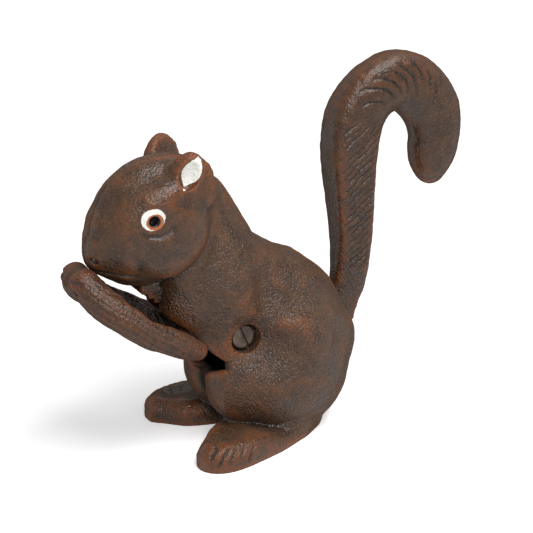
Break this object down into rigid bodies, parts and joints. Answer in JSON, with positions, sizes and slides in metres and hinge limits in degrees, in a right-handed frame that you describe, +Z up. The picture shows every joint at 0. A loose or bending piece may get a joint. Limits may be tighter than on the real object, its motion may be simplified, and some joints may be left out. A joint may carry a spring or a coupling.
{
  "type": "lever nutcracker",
  "caption": "Cast-iron squirrel nutcracker: raising the tail opens the cupped paws under the chin, pressing it down crushes the nut between them.",
  "frame": {"origin": "on the ground under the middle of the overall length, on the plane where the two body halves meet", "axes": "+X towards the tail, -X where the squirrel faces, +Y towards its right side, +Z up"},
  "size_m": [0.1982, 0.0822, 0.168],
  "materials": {
    "iron": "dark brown paint, worn to rust orange on the edges",
    "steel": "aged grey-brown"
  },
  "bodies": {
    "body": {"left_body_half": "iron", "right_body_half": "iron", "pivot_screw": "steel", "pivot_nut": "steel"},
    "lever": {"lever": "iron"}
  },
  "joints": [
    {"name": "lever_hinge", "type": "hinge", "parent": "body", "child": "lever", "pos_m": [-0.02331, 0, 0.052], "axis": [0, -1, 0], "range_deg": [0, 28]}
  ]
}
